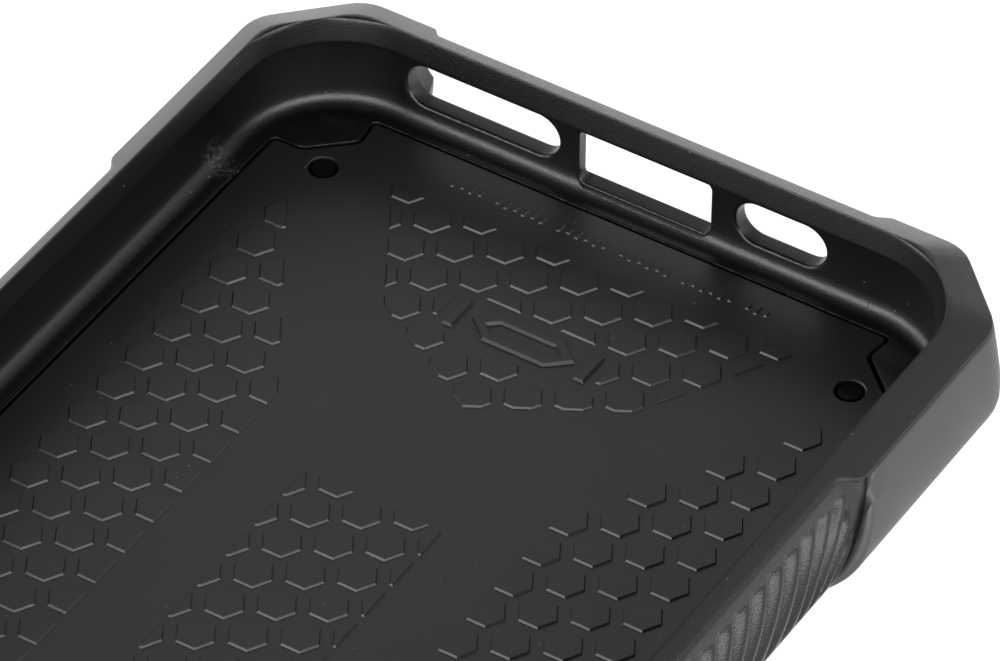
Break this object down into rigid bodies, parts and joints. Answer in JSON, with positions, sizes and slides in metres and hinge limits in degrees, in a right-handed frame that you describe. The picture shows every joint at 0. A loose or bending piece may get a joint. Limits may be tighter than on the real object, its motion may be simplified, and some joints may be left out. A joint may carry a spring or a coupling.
{
  "type": "phone case",
  "caption": "Rugged two-material phone case with a raised soft lip, eight-sided hard corner armour, ribbed grips, connector openings and press-through buttons.",
  "frame": {"origin": "centre of the case's footprint, on the surface that it lies on with its open side up", "axes": "+X to the phone's right seen from the open side, +Y towards the cameras with the connector openings at -Y, +Z out of the open side"},
  "size_m": [0.0788, 0.1544, 0.0139],
  "materials": {
    "bumper_rubber": "fine matte grain",
    "panel_plastic": "satin, with a raised hexagon relief",
    "armour_plastic": "satin",
    "inlay_leather": "pebbled grain",
    "guard_plastic": "satin",
    "trim_metal": "brushed, dark anodised",
    "screw_steel": "turned",
    "insert_plastic": "gloss black",
    "button_plastic": "satin"
  },
  "bodies": {
    "case": {"bumper": "bumper_rubber", "inner_panel": "panel_plastic", "back_shell": "armour_plastic", "back_inlay": "inlay_leather", "camera_guard": "guard_plastic", "upper_trim": "trim_metal", "lower_trim": "trim_metal", "upper_left_screw": "screw_steel", "upper_right_screw": "screw_steel", "lower_left_screw": "screw_steel", "lower_right_screw": "screw_steel", "upper_left_insert": "insert_plastic", "upper_right_insert": "insert_plastic", "lower_left_insert": "insert_plastic", "lower_right_insert": "insert_plastic"},
    "volume_up": {"volume_up_button": "button_plastic"},
    "volume_down": {"volume_down_button": "button_plastic"},
    "side_key": {"side_button": "button_plastic"}
  },
  "joints": [
    {"name": "volume_up_press", "type": "slide", "parent": "case", "child": "volume_up", "axis": [1, 0, 0], "range_m": [0, 0.0004], "stiffness_N_per_m": 2000},
    {"name": "volume_down_press", "type": "slide", "parent": "case", "child": "volume_down", "axis": [1, 0, 0], "range_m": [0, 0.0004], "stiffness_N_per_m": 2000},
    {"name": "side_key_press", "type": "slide", "parent": "case", "child": "side_key", "axis": [-1, 0, 0], "range_m": [0, 0.0004], "stiffness_N_per_m": 2000}
  ]
}
